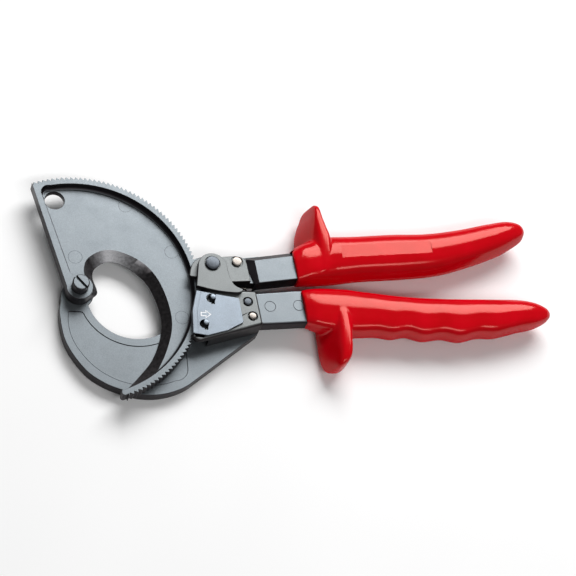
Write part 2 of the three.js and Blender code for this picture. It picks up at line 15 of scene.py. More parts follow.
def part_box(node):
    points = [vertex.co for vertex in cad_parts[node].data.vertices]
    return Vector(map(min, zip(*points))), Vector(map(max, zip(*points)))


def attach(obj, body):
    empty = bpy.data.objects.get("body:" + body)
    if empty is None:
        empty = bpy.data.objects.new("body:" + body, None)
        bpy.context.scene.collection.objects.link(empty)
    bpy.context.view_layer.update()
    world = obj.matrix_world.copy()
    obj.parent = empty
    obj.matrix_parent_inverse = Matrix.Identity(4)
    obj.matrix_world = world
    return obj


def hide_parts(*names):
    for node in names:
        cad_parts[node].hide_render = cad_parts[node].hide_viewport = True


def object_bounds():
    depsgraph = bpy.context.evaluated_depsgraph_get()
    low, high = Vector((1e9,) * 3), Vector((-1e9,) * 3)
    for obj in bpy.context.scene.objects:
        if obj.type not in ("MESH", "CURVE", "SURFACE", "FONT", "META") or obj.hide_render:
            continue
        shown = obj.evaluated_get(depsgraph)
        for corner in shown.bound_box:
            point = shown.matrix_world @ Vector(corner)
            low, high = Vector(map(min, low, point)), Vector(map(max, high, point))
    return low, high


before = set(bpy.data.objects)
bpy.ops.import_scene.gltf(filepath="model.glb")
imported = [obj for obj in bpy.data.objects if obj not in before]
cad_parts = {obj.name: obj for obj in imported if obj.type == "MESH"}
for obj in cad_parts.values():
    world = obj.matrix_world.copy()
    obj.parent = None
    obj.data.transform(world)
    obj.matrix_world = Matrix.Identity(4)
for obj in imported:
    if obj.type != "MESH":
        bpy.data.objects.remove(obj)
cad_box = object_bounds()

# ------------------------------------------------------------------ places read from the frame

MM = 0.001


def centre(node):
    """The middle of a CAD node's box, in metres."""
    low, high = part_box(node)
    return (Vector(low) + Vector(high)) / 2


PIVOT = centre("pivot_bolt")


def spot(node):
    """The middle of a CAD node in the plan, in millimetres about the pivot."""
    away = (centre(node) - PIVOT) / MM
    return away.x, away.y


def levels(node):
    """The lowest and highest level of a CAD node, in millimetres."""
    low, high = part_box(node)
    return low[2] / MM, high[2] / MM


def radius_of(node):
    """Half the width of a CAD node along X, in millimetres."""
    low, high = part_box(node)
    return (high[0] - low[0]) / MM / 2


BACK, PLATE = levels("fixed_blade")
BLADE_LOW, RIM_TOP = levels("moving_blade")
RIM_R = max(abs(value) for value in (
    (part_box("moving_blade")[1][1] - PIVOT.y) / MM,
    (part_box("moving_blade")[1][0] - PIVOT.x) / MM,
))
FRONT = levels("housing_cover")[1]
CHEEK = 2.8      # raised part of the cover, over the handle's pivot
COVER = 3.0      # the cover's front plate
LID_TOP = FRONT - CHEEK
LID_LOW = LID_TOP - COVER
SHEET_LOW = LID_TOP + 0.3
SHEET_TOP = levels("release_plate")[1]
EYE = spot("handle_pivot_rivet")
HOUSING_RIVETS = [spot("housing_rivet_upper"), spot("housing_rivet_lower")]
TANG_RIVETS = [spot("tang_rivet_inner"), spot("tang_rivet_outer")]
STUDS = [spot("release_stud_upper"), spot("release_stud_lower")]
GAP = 0.3        # between pieces that rest on each other
PAST = 1         # how far a cutter passes the face it opens

# ------------------------------------------------------------------ outlines, in millimetres


def polar(radius, degrees):
    """A point at a distance from the pivot and an angle from +X."""
    return radius * math.cos(math.radians(degrees)), radius * math.sin(math.radians(degrees))


def arc(start, through, end, spacing):
    """Points of the circular arc from start to end, without the start."""
    (ax, ay), (bx, by), (cx, cy) = start, through, end
    d = 2 * (ax * (by - cy) + bx * (cy - ay) + cx * (ay - by))
    a, b, c = ax * ax + ay * ay, bx * bx + by * by, cx * cx + cy * cy
    x = (a * (by - cy) + b * (cy - ay) + c * (ay - by)) / d
    y = (a * (cx - bx) + b * (ax - cx) + c * (bx - ax)) / d
    radius = math.hypot(ax - x, ay - y)
    first = math.atan2(ay - y, ax - x)
    sweep = math.atan2(cy - y, cx - x) - first
    turn = 2 * math.pi
    sweep = sweep % turn if d > 0 else -((-sweep) % turn)
    count = max(2, round(abs(sweep) * radius / spacing))
    angles = [first + sweep * i / count for i in range(1, count + 1)]
    return [(x + radius * math.cos(t), y + radius * math.sin(t)) for t in angles]


def spline(points, spacing=1.0, steps=None):
    """Points of a smooth curve through the given ones, a spacing apart or in steps for each span."""
    result = []
    for i in range(len(points) - 1):
        p1, p2 = points[i], points[i + 1]
        p0 = points[i - 1] if i > 0 else p1
        p3 = points[i + 2] if i + 2 < len(points) else p2
        parts = steps or max(1, math.ceil(math.dist(p1[:2], p2[:2]) / spacing))
        for k in range(parts):
            t = k / parts
            result.append(tuple(
                0.5 * (2 * b + (c - a) * t + (2 * a - 5 * b + 4 * c - d) * t * t
                       + (3 * b - a - 3 * c + d) * t ** 3)
                for a, b, c, d in zip(p0, p1, p2, p3)
            ))
    result.append(tuple(points[-1]))
    return result


def outline(start, *steps, spacing=0.8):
    """A closed outline: ("line", end), ("arc", through, end) and ("curve", points...)."""
    points = [start]
    for kind, *given in steps:
        here = points[-1]
        if kind == "line":
            points.append(given[0])
        if kind == "arc":
            points += arc(here, given[0], given[1], spacing)
        if kind == "curve":
            points += spline([here, *given], spacing)[1:]
    if math.dist(points[0], points[-1]) < 0.01:
        points.pop()
    return points


def circle(middle, radius, sides=64):
    """A closed circle in the plan."""
    x, y = middle
    turns = [2 * math.pi * i / sides for i in range(sides)]
    return [(x + radius * math.cos(t), y + radius * math.sin(t)) for t in turns]


def inset(points, amount):
    """The closed outline moved inwards all round by an amount, or outwards if negative."""
    area = sum(a[0] * b[1] - b[0] * a[1] for a, b in zip(points, points[1:] + points[:1]))
    side = 1 if area > 0 else -1
    moved = []
    for before, here, after in zip(points[-1:] + points[:-1], points, points[1:] + points[:1]):
        first = (Vector(here) - Vector(before)).normalized()
        second = (Vector(after) - Vector(here)).normalized()
        normal = Vector((-first.y - second.y, first.x + second.x)) * side
        spread = max(0.7, 1 + first.dot(second))
        moved.append((here[0] + amount * normal.x / spread, here[1] + amount * normal.y / spread))
    return moved


def inside(point, ring):
    """True if a plan point lies within a closed outline."""
    x, y = point
    crossings = 0
    for (ax, ay), (bx, by) in zip(ring, ring[1:] + ring[:1]):
        if (ay > y) != (by > y) and x < ax + (bx - ax) * (y - ay) / (by - ay):
            crossings += 1
    return crossings % 2 == 1


# ------------------------------------------------------------------ solids, in millimetres


def tube(rings, name="solid"):
    """A closed solid through rings of equally many points [x, y, z], capped at both ends."""
    mesh = bpy.data.meshes.new(name)
    shape = bmesh.new()
    rows = [[shape.verts.new(point) for point in ring] for ring in rings]
    count = len(rings[0])
    for low, high in zip(rows, rows[1:]):
        for i in range(count):
            k = (i + 1) % count
            shape.faces.new((low[i], low[k], high[k], high[i]))
    shape.faces.new(rows[0][::-1])
    shape.faces.new(rows[-1])
    bmesh.ops.recalc_face_normals(shape, faces=shape.faces)
    shape.to_mesh(mesh)
    shape.free()
    thing = bpy.data.objects.new(name, mesh)
    bpy.context.collection.objects.link(thing)
    return thing


def stack(points, profile):
    """A solid whose outline is inset by a given amount at each level of the profile."""
    return tube([[(x, y, level) for x, y in inset(points, amount)] for level, amount in profile])


def rounded(low, high, low_round, high_round, steps=4):
    """The profile of a slab with its lower and upper edges rounded over."""
    profile = []
    for i in range(steps + 1):
        t = math.pi / 2 * i / steps
        profile.append((low + low_round * (1 - math.cos(t)), low_round * (1 - math.sin(t))))
    for i in range(steps + 1):
        t = math.pi / 2 * i / steps
        profile.append((high - high_round * (1 - math.sin(t)), high_round * (1 - math.cos(t))))
    return profile


def sinking(bottom, top, lip, steps=4):
    """The profile of a cutter: a hollow whose mouth at the top has a rounded lip."""
    profile = [(bottom, 0.0)]
    for i in range(steps + 1):
        t = math.pi / 2 * i / steps
        profile.append((top - lip + lip * math.sin(t), -lip * (1 - math.cos(t))))
    profile.append((top + PAST, -lip))
    return profile


def slab(points, low, high, low_round=0.25, high_round=0.25):
    """A flat piece with rounded edges."""
    return stack(points, rounded(low, high, low_round, high_round))


def turned(middle, profile, sides=64):
    """A turned solid standing on a plan point, from a profile of (radius, level)."""
    return tube([[(x, y, level) for x, y in circle(middle, radius, sides)] for radius, level in profile])


def scribed_circle(place, radius, width, depth, flare, top):
    """A cutter for a fine V-shaped circle in a flat face."""
    inner, inner_flare = radius - width, 0.12
    ring = turned(place, [
        (radius, top - depth), (radius + flare, top + 0.02), (radius + flare, top + PAST / 2),
    ], 48)
    core = turned(place, [
        (inner, top - PAST), (inner, top - depth), (inner - inner_flare, top + 0.05),
        (inner - inner_flare, top + PAST),
    ], 48)
    return combine(ring, [core])


def box_solid(low, high):
    """A plain block, used only to cut others."""
    ring = [(low[0], low[1]), (high[0], low[1]), (high[0], high[1]), (low[0], high[1])]
    return tube([[(x, y, low[2]) for x, y in ring], [(x, y, high[2]) for x, y in ring]])


def combine(base, others, operation="DIFFERENCE"):
    """Cuts the other solids out of the base, or joins them to it, and uses them up."""
    for other in others:
        step = base.modifiers.new("combine", "BOOLEAN")
        step.operation = operation
        step.solver = "MANIFOLD"
        step.object = other
    bpy.context.view_layer.update()
    whole = bpy.data.meshes.new_from_object(base.evaluated_get(bpy.context.evaluated_depsgraph_get()))
    base.modifiers.clear()
    base.data = whole
    for other in others:
        bpy.data.objects.remove(other)
    return base


def join(base, others):
    """Joins the other solids to the base."""
    return combine(base, others, "UNION")


def place_piece(thing, name, body, nodes, materials, sharp=26):
    """Moves a finished solid into the frame, names it, gives it its materials and shading, hangs it on its
    body and hides the CAD nodes it stands for.
    """
    thing.name = name
    thing.data.name = name
    for vertex in thing.data.vertices:
        x, y, z = vertex.co
        vertex.co = (PIVOT.x + x * MM, PIVOT.y + y * MM, z * MM)
    thing.data.materials.clear()
    for material in materials:
        thing.data.materials.append(material)
    thing.data.shade_smooth()
    thing.data.set_sharp_from_angle(angle=math.radians(sharp))
    weigh = thing.modifiers.new("flat faces stay flat", "WEIGHTED_NORMAL")
    weigh.keep_sharp = True
    weigh.weight = 100
    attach(thing, body)
    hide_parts(*nodes)
    return thing


# ------------------------------------------------------------------ materials


class Recipe:
    """A material's node tree, with short names for the nodes that the recipes share."""

    def __init__(self, name):
        self.material = bpy.data.materials.new(name)
        self.material.use_nodes = True
        self.tree = self.material.node_tree
        self.tree.nodes.clear()
        self.shader = self.add("ShaderNodeBsdfPrincipled")
        output = self.add("ShaderNodeOutputMaterial")
        self.link(self.shader.outputs["BSDF"], output.inputs["Surface"])
        self.coords = self.add("ShaderNodeTexCoord")

    def add(self, kind):
        """A new node of the given kind."""
        return self.tree.nodes.new(kind)

    def link(self, source, target):
        """Feeds one socket from another."""
        self.tree.links.new(source, target)

    def set(self, **values):
        """Sets constants on the shader, with underscores for the spaces in a socket's name."""
        for name, value in values.items():
            self.shader.inputs[name.replace("_", " ")].default_value = value

    def noise(self, scale, detail=3.0, roughness=0.6):
        """Solid noise in metres of the object's own space."""
        texture = self.add("ShaderNodeTexNoise")
        texture.inputs["Scale"].default_value = scale
        texture.inputs["Detail"].default_value = detail
        texture.inputs["Roughness"].default_value = roughness
        self.link(self.coords.outputs["Object"], texture.inputs["Vector"])
        return texture.outputs["Fac"]

    def ramp(self, value, stops):
        """A colour for each value, from stops of (position, colour)."""
        node = self.add("ShaderNodeValToRGB")
        elements = node.color_ramp.elements
        while len(elements) < len(stops):
            elements.new(0.5)
        for element, (position, colour) in zip(elements, stops):
            element.position = position
            element.color = (*colour, 1)
        self.link(value, node.inputs["Fac"])
        return node.outputs["Color"]

    def spread(self, value, low, high, start=0.3, stop=0.7):
        """Maps a value from start..stop to low..high."""
        node = self.add("ShaderNodeMapRange")
        for name, number in (("From Min", start), ("From Max", stop), ("To Min", low), ("To Max", high)):
            node.inputs[name].default_value = number
        self.link(value, node.inputs["Value"])
        return node.outputs["Result"]

    def mix(self, factor, first, second, blend="MIX"):
        """Blends two colours, each a socket or a plain colour."""
        node = self.add("ShaderNodeMix")
        node.data_type = "RGBA"
        node.blend_type = blend
        for source, target in ((factor, 0), (first, 6), (second, 7)):
            if isinstance(source, (int, float)):
                node.inputs[target].default_value = source
            elif isinstance(source, tuple):
                node.inputs[target].default_value = (*source, 1)
            else:
                self.link(source, node.inputs[target])
        return node.outputs[2]

    def bump(self, height, depth, strength=1.0, under=None):
        """A surface normal that follows a height, on top of another bump if one is given."""
        node = self.add("ShaderNodeBump")
        node.inputs["Distance"].default_value = depth
        node.inputs["Strength"].default_value = strength
        self.link(height, node.inputs["Height"])
        if under is not None:
            self.link(under, node.inputs["Normal"])
        return node.outputs["Normal"]

    def facing_up(self):
        """How far the surface faces the front or back of the tool: 0 on walls, 1 on flats."""
        split = self.add("ShaderNodeSeparateXYZ")
        self.link(self.coords.outputs["Normal"], split.inputs["Vector"])
        size = self.add("ShaderNodeMath")
        size.operation = "ABSOLUTE"
        self.link(split.outputs["Z"], size.inputs[0])
        return size.outputs["Value"]


def forged_steel(name, flat, wall, rough=(0.36, 0.5), metallic=0.75):
    """Blasted and oiled steel: pale flats, walls darkened with painted shade, fine grain."""
    recipe = Recipe(name)
    recipe.set(Metallic=metallic)
    grain = recipe.noise(2600, 2.0)
    cloud = recipe.noise(95, 4.0)
    # painted shade: walls get the darker colour because of how they face the light, flats the paler one
    tone = recipe.ramp(recipe.facing_up(), [(0.87, wall), (0.97, flat)])
    stain = recipe.ramp(cloud, [(0.3, (0.25, 0.25, 0.26)), (0.7, (0.9, 0.92, 0.95))])
    tone = recipe.mix(0.16, tone, stain, "OVERLAY")
    blast = recipe.ramp(grain, [(0.3, (0.2, 0.2, 0.2)), (0.7, (0.9, 0.9, 0.9))])
    tone = recipe.mix(0.22, tone, blast, "OVERLAY")
    recipe.link(tone, recipe.shader.inputs["Base Color"])
    recipe.link(recipe.spread(cloud, *rough), recipe.shader.inputs["Roughness"])
    fine = recipe.bump(grain, 0.00003, 0.5)
    recipe.link(recipe.bump(cloud, 0.00005, 0.3, fine), recipe.shader.inputs["Normal"])
    return recipe.material


def ground_steel(name):
    """The ground cutting bevel: dark, shiny, with grinding marks across the edge."""
    recipe = Recipe(name)
    recipe.set(Metallic=0.95)
    mouth_middle = Vector((PIVOT.x + 22 * MM, PIVOT.y - 14 * MM, 0))
    shift = recipe.add("ShaderNodeVectorMath")
    shift.operation = "SUBTRACT"
    shift.inputs[1].default_value = mouth_middle
    recipe.link(recipe.coords.outputs["Object"], shift.inputs[0])
    split = recipe.add("ShaderNodeSeparateXYZ")
    recipe.link(shift.outputs["Vector"], split.inputs["Vector"])
    angle = recipe.add("ShaderNodeMath")
    angle.operation = "ARCTAN2"
    recipe.link(split.outputs["Y"], angle.inputs[0])
    recipe.link(split.outputs["X"], angle.inputs[1])
    lines = recipe.add("ShaderNodeTexNoise")
    lines.noise_dimensions = "1D"
    lines.inputs["Scale"].default_value = 40
    lines.inputs["Detail"].default_value = 5
    recipe.link(angle.outputs["Value"], lines.inputs["W"])
    blotch = recipe.noise(700, 4.0)
    round_mouth = recipe.spread(angle.outputs["Value"], 0, 1, -math.pi, math.pi)
    dark, mid, pale = (0.04, 0.037, 0.039), (0.075, 0.074, 0.078), (0.26, 0.26, 0.27)
    # painted light round the mouth: a painted highlight near its top, painted shade elsewhere, a little
    # lighter on its upper left
    tone = recipe.ramp(round_mouth, [
        (0.25, dark), (0.68, dark), (0.745, pale), (0.785, pale), (0.825, dark), (0.88, mid), (0.96, mid),
    ])
    grit = recipe.ramp(blotch, [(0.35, (0.3, 0.3, 0.3)), (0.65, (0.75, 0.75, 0.75))])
    tone = recipe.mix(0.6, tone, grit, "OVERLAY")
    recipe.link(tone, recipe.shader.inputs["Base Color"])
    recipe.link(recipe.spread(blotch, 0.36, 0.52), recipe.shader.inputs["Roughness"])
    recipe.link(recipe.bump(lines.outputs["Fac"], 0.00001, 0.3), recipe.shader.inputs["Normal"])
    return recipe.material


def dipped_plastic(name):
    """Thick glossy dip, with the faint ripple it cures with."""
    recipe = Recipe(name)
    recipe.set(Specular_Tint=(1, 0.5, 0.42, 1))
    slant = recipe.add("ShaderNodeLayerWeight")
    shine = recipe.spread(slant.outputs["Facing"], 0.5, 0.04, 0.3, 0.7)
    recipe.link(shine, recipe.shader.inputs["Specular IOR Level"])
    ripple = recipe.noise(70, 2.0)
    speck = recipe.noise(900, 2.0)
    tone = recipe.ramp(ripple, [(0.3, (0.52, 0.0, 0.004)), (0.7, (0.6, 0.0, 0.007))])
    recipe.link(tone, recipe.shader.inputs["Base Color"])
    recipe.link(recipe.spread(speck, 0.12, 0.18), recipe.shader.inputs["Roughness"])
    fine = recipe.bump(speck, 0.000004, 0.1)
    recipe.link(recipe.bump(ripple, 0.0001, 0.15, fine), recipe.shader.inputs["Normal"])
    return recipe.material


def white_paint(name):
    """The printed arrow: thin white paint, a little worn."""
    recipe = Recipe(name)
    worn = recipe.noise(1500, 4.0)
    tone = recipe.ramp(worn, [(0.3, (0.6, 0.61, 0.63)), (0.45, (0.85, 0.86, 0.87))])
    recipe.link(tone, recipe.shader.inputs["Base Color"])
    recipe.link(recipe.spread(worn, 0.5, 0.7), recipe.shader.inputs["Roughness"])
    return recipe.material


# each steel's second colour is the painted shade on its walls
BLADE_STEEL = forged_steel("blade_steel", (0.15, 0.168, 0.18), (0.022, 0.019, 0.022))
HOUSING_STEEL = forged_steel("housing_steel", (0.135, 0.143, 0.143), (0.028, 0.025, 0.026))
BLUED_SHEET = forged_steel("blued_sheet", (0.16, 0.185, 0.212), (0.09, 0.1, 0.115), rough=(0.3, 0.4))
BRIGHT_STEEL = forged_steel("bright_steel", (0.22, 0.198, 0.178), (0.12, 0.11, 0.105),
                            rough=(0.26, 0.4), metallic=0.9)
BOLT_STEEL = forged_steel("bolt_steel", (0.066, 0.075, 0.086), (0.022, 0.022, 0.026), rough=(0.3, 0.42))
GROUND_STEEL = ground_steel("ground_steel")
RED_DIP = dipped_plastic("red_dip")
PAINT = white_paint("white_paint")

# ------------------------------------------------------------------ fixed blade

HOOK = outline(
    (5.5, -6.3),
    ("arc", (8.37, 0), (0, 8.37)),
    ("arc", (-8.2, 1.6), (-8.9, -5)),
    ("curve", (-9.6, -12.4), (-6.3, -28.4), (3.2, -42.8), (13.6, -50.4), (25, -54.6)),
    ("arc", (40, -55.9), (58, -49.3)),
    ("line", (95.2, -18.8)),
    ("arc", (96.5, -17.2), (96.5, -14)),
    ("line", (96.5, 0.5)),
    ("line", (85, 2)),
    ("arc", (79.6, 23.5), (60, 22)),
    ("line", (56.2, 4)),
    ("arc", (32, -24.54), (5.5, -6.3)),
)
POCKET = outline(
    (-4.8, -11.2),
    ("arc", (-4.3, -10.8), (-3.6, -10.7)),
    ("line", (1.4, -10.7)),
    ("arc", (2.4, -11), (3.2, -12.2)),
    ("arc", (30.7, -28.9), (56, -15.4)),
    ("line", (57.4, -40)),
    ("arc", (56, -44.6), (51, -47.3)),
    ("arc", (35, -50.8), (1, -32.8)),
    ("arc", (-4.4, -21), (-4.8, -11.2)),
)


def groove(points, width, depth, top):
    """A ring-shaped cutter that follows an outline on both sides and narrows downwards."""
    wide, narrow = width / 2, width / 10
    outer = stack(points, [(top - depth, -narrow), (top, -wide), (top + PAST, -wide)])
    inner = stack(points, [(top - depth - PAST, narrow), (top - depth, narrow), (top, wide),
                           (top + 2 * PAST, wide)])
    return combine(outer, [inner])


def fixed_blade():
    """The hooked plate, bevelled behind its jaw, with a shallow outlined pocket in front."""
    body = slab(HOOK, BACK, PLATE, 0.3, 0.35)
    tang = slab([(80, -12.5), (121.3, -9.2), (121.3, 1.2), (80, -0.5)], BACK, PLATE, 0.3, 0.3)
    body = join(body, [tang])
    jaw, jaw_radius = (30.3, 0.9), 25.5
    bevel_radius, edge = jaw_radius + 5.6, PLATE - 1.2
    back_bevel = turned(jaw, [
        (bevel_radius, -PAST), (bevel_radius, 0), (jaw_radius + 0.2, edge), (jaw_radius - 4, edge),
    ], 160)
    under_the_housing = box_solid((54, -30, -2), (125, 30, PLATE - 0.6))
    body = combine(body, [combine(back_bevel, [under_the_housing])])
    pocket_depth = 0.35
    body = combine(body, [
        stack(POCKET, sinking(PLATE - pocket_depth, PLATE, 0.12)),
        groove(POCKET, width=0.5, depth=0.6, top=PLATE),
    ])
    return place_piece(body, "fixed_blade_forging", "frame", ["fixed_blade"], [BLADE_STEEL])


# ------------------------------------------------------------------ moving blade

TOOTH_DEPTH = 1.3
TOOTH_PITCH = 2.24      # degrees
TOOTH_FIRST = 112       # degrees, at the hanging corner
TOOTH_LAST = -69.5      # degrees, at the nose
RIM_WIDTH = 4           # thick band inside the teeth
WEB_TOP = BLADE_LOW + 3.3
BOSS_R = 7
BOLT_HOLE_R = 4.3
HANG_HOLE = (-12.7, 52.3)
HANG_HOLE_R = 5.2
# the cutting edge and the top of its bevel, point for point
CUT_EDGE = [
    (5.4, -4.4), (9.6, -0.9), (9.9, 2.2), (7.6, 9.6), (9.6, 15.2), (17.2, 19.2), (27.9, 15.1),
    (38.2, 4.4), (43.9, -15), (40, -33.6), (30.6, -47.5), (18, -61),
]
BEVEL_TOP = [
    (4.6, -5.2), (6.8, -1.6), (6.9, 1.4), (2.8, 10.2), (5.2, 19.4), (16.8, 24.8), (32.8, 19.2),
    (43.4, 6.6), (49.1, -14.4), (45.5, -33.2), (37, -50), (27, -62),
]
# faint round marks that a press leaves in the web
MARKS = [(-1.8, 19.3), (25.3, 51.8), (49.9, 25.7), (54.5, -12.7)]
MARK_R = 3.7


def mouth(edge):
    """The mouth of the blade as a ring, closed by a loop outside the blade."""
    return spline(edge, steps=12) + [(12, -66), (-14, -40), (-6, -14)]


def tooth_outline():
    """The moving blade's outline: straight back, toothed rim, rounded nose and boss."""
    points = [polar(BOSS_R - 0.4, 196), polar(RIM_R, TOOTH_FIRST + 0.8)]
    root = RIM_R - TOOTH_DEPTH
    teeth = math.floor((TOOTH_FIRST - TOOTH_LAST) / TOOTH_PITCH)
    for i in range(teeth):
        angle = TOOTH_FIRST - i * TOOTH_PITCH
        for radius, share in ((root, 0.3), (root, 0.2), (RIM_R, 0.04), (RIM_R, -0.06)):
            points.append(polar(radius, angle + share * TOOTH_PITCH))
    # the rounded nose, then along the mouth's side to the boss
    points += [(24.6, -59.1), (22.9, -59.8), (21.9, -59.5), (21.3, -58.7), (21.2, -57.3), (6, -4.6)]
    points += [polar(BOSS_R - 1, angle) for angle in range(-45, -151, -15)]
    return points


def web_outline():
    """The hollow in the blade's face, between its rim and its straight back."""
    inner = RIM_R - RIM_WIDTH
    return outline(
        (-19.7, 52.9),
        ("arc", (-19.6, 57.2), polar(inner, 104.6)),
        ("arc", polar(inner, 20), polar(inner, TOOTH_LAST - 1.5)),
        ("line", (12, -54)),
        ("line", (2, -12)),
        ("line", (0, 0)),
        ("line", (-1.6, 6.4)),
        ("arc", (-4.2, 7.4), (-5.6, 9.6)),
    )


def web_cutter(web):
    """Opens the hollow: a small step, then a wide fillet up to the rim's wall."""
    wall_foot = WEB_TOP + 2.2
    profile = [
        (WEB_TOP, 1.75), (WEB_TOP + 0.25, 1.65), (WEB_TOP + 0.3, 1.4), (WEB_TOP + 0.55, 0.8),
        (WEB_TOP + 1, 0.35), (WEB_TOP + 1.7, 0.06), (wall_foot, 0),
    ]
    return stack(web, profile + sinking(wall_foot, RIM_TOP, 0.3)[1:])


def mouth_cutter(web):
    """Opens the mouth, with its ground bevel, and leaves the rim whole."""
    sharp_ring, top_ring = mouth(CUT_EDGE), mouth(BEVEL_TOP)
    edge_land = 0.35
    rings = [
        (sharp_ring, BLADE_LOW - PAST), (sharp_ring, BLADE_LOW + edge_land),
        (top_ring, WEB_TOP + 0.02), (top_ring, RIM_TOP + PAST),
    ]
    opening = tube([[(x, y, level) for x, y in ring] for ring, level in rings])
    inside_rim = stack(web, [(BLADE_LOW - 2 * PAST, 0), (RIM_TOP + 2 * PAST, 0)])
    return combine(opening, [inside_rim], "INTERSECT")


def ground_faces(mesh):
    """For each face of the blade, 1 if it is on the ground bevel and 0 if not."""
    ring = mouth(BEVEL_TOP)
    slots = []
    for face in mesh.polygons:
        x, y, z = face.center
        sloping = 0.3 < face.normal.z < 0.95
        ground = sloping and BLADE_LOW < z < WEB_TOP + 0.1 and inside((x, y), ring)
        slots.append(1 if ground else 0)
    return slots


def moving_blade():
    """The toothed blade: a thick rim, a hollow web, a bevelled mouth and a boss."""
    body = stack(tooth_outline(), rounded(BLADE_LOW, RIM_TOP, 0.15, 0.18, steps=2))
    web = web_outline()
    body = combine(body, [web_cutter(web)])
    body = combine(body, [mouth_cutter(web)])
    boss = stack(circle((0, 0), BOSS_R, 96), rounded(BLADE_LOW, RIM_TOP, 0.2, 0.35))
    body = join(body, [boss])
    hole = stack(circle(HANG_HOLE, HANG_HOLE_R, 72), sinking(0, WEB_TOP, 0.35))
    bore = stack(circle((0, 0), BOLT_HOLE_R, 48), sinking(0, RIM_TOP, 0.2))
    body = combine(body, [hole, bore])
    body = combine(body, [
        scribed_circle(place, MARK_R, width=0.02, depth=0.06, flare=0.1, top=WEB_TOP) for place in MARKS
    ])
    slots = ground_faces(body.data)
    piece = place_piece(body, "moving_blade_forging", "cutting_blade", ["moving_blade"],
                        [BLADE_STEEL, GROUND_STEEL])
    piece.data.polygons.foreach_set("material_index", slots)
    return piece


def pivot_bolt():
    """The bolt both blades turn on, with a slotted cheese head."""
    low, top = levels("pivot_bolt")
    seat = RIM_TOP + GAP
    head = radius_of("pivot_bolt")
    shank = 4
    body = turned((0, 0), [
        (shank - 0.6, low), (shank, low + 0.5), (shank, seat), (head - 0.25, seat), (head, seat + 0.25),
        (head, top - 0.6), (head - 0.18, top - 0.22), (head - 0.6, top),
    ], 72)
    slot_turn, slot_width, slot_depth = math.radians(-48), 1.3, 1.5
    along = Vector((math.cos(slot_turn), math.sin(slot_turn))) * (head + 1.5)
    across = Vector((-along.y, along.x)).normalized() * slot_width / 2
    corners = [along + across, -along + across, -along - across, along - across]
    ring = [(corner.x, corner.y) for corner in corners]
    body = combine(body, [stack(ring, sinking(top - slot_depth, top, 0.1))])
    return place_piece(body, "slotted_bolt", "frame", ["pivot_bolt"], [BLADE_STEEL])


# ------------------------------------------------------------------ housing


def housing_cover():
    """The casting over the teeth: front plate, cheek over the handle's pivot, skirt below."""
    lid = outline(
        (65.2, 0.6),
        ("line", (62.4, -12)),
        ("line", (62.4, -25.7)),
        ("line", (57.7, -25.6)),
        ("arc", (58.9, -27.6), (64.6, -28.3)),
        ("line", (95, -18.2)),
        ("arc", (96.2, -17.4), (96.2, -15.6)),
        ("line", (93.6, 1.6)),
        ("line", (84, 1.6)),
        ("line", (80, 0.9)),
    )
    cheek = outline(
        (60.8, 1.4),
        ("line", (62.0, 13.2)),
        ("arc", (69.8, 21.1), (77.6, 14)),
        ("curve", (78.6, 8.6), (81.2, 3.2), (85.8, 0.9)),
        ("curve", (85.2, -0.5), (82, -1.4), (74, -1.1), (68, -0.2), (60.8, 1.4)),
    )
    skirt = outline(
        (67.5, -27.3),
        ("line", (95, -18.2)),
        ("arc", (96.2, -17.4), (96.1, -16.9)),
        ("line", (92, -16.9)),
        ("line", (76.6, -21.6)),
        ("line", (69, -24.4)),
    )
    body = slab(lid, LID_LOW, LID_TOP, 0.3, 1.5)
    body = join(body, [
        slab(cheek, LID_TOP - 0.5, FRONT, 0.2, 0.35),
        slab(skirt, BLADE_LOW, LID_LOW + 1, 0.2, 0.2),
    ])
    # counterbores, which leave a dark ring round each head
    rivet_bore, stud_bore = 2.75, 2.3
    pivot_bore = radius_of("handle_pivot_rivet") + 0.35
    sink = sinking(LID_TOP - 2, LID_TOP, 0.12)
    cuts = [stack(circle(place, rivet_bore, 40), sink) for place in HOUSING_RIVETS]
    cuts.append(stack(circle(EYE, pivot_bore, 64), sinking(FRONT - 0.8, FRONT, 0.12)))
    sink = sinking(LID_TOP - 2.4, LID_TOP, 0.1)
    cuts += [stack(circle((x - 0.7, y - 0.9), stud_bore, 40), sink) for x, y in STUDS]
    body = combine(body, cuts)
    return place_piece(body, "housing_casting", "frame", ["housing_cover"], [HOUSING_STEEL])


def headed(middle, radius, seat, top, shank, low, crown=0.08, sides=48):
    """A rivet: a straight shank and a wide head with a rounded rim and a slight crown."""
    rim = top - crown
    return turned(middle, [
        (shank, low), (shank, seat), (radius - 0.1, seat), (radius, seat + 0.12), (radius, rim - 0.25),
        (radius - 0.07, rim - 0.08), (radius - 0.25, rim), (radius * 0.6, rim + crown * 0.6), (0.15, top),
    ], sides)


def rivets():
    """The loose rivets and studs, each seated a little below the face round it."""
    for node, finish, slot in (
        ("housing_rivet_upper", BOLT_STEEL, "blade_steel"),
        ("housing_rivet_lower", BRIGHT_STEEL, "bright_steel"),
    ):
        low = levels(node)[0]
        body = headed(spot(node), 2, seat=LID_TOP - 1.6, top=LID_TOP + 0.35, shank=1.8, low=low)
        place_piece(body, node + "_head", "frame", [node], [finish])
    node = "handle_pivot_rivet"
    low, top = levels(node)
    body = headed(EYE, radius_of(node) - 0.15, seat=FRONT - 0.5, top=top - 1.1, shank=3, low=low,
                  crown=0.2, sides=64)
    place_piece(body, "handle_pivot_head", "frame", [node], [BOLT_STEEL])
    node = "eye_plate_rivet"
    low, top = levels(node)
    plate_top = levels("handle_eye_plate")[1]
    body = headed(spot(node), radius_of(node), seat=plate_top - 0.4, top=top - 0.1, shank=2.2, low=low)
    place_piece(body, "eye_plate_rivet_head", "moving_handle", [node], [BRIGHT_STEEL])
    for node in ("release_stud_upper", "release_stud_lower"):
        low, top = levels(node)
        body = headed(spot(node), radius_of(node), seat=SHEET_TOP + 0.2, top=top, shank=1, low=low,
                      crown=0.1, sides=40)
        place_piece(body, node + "_head", "frame", [node], [BLUED_SHEET])


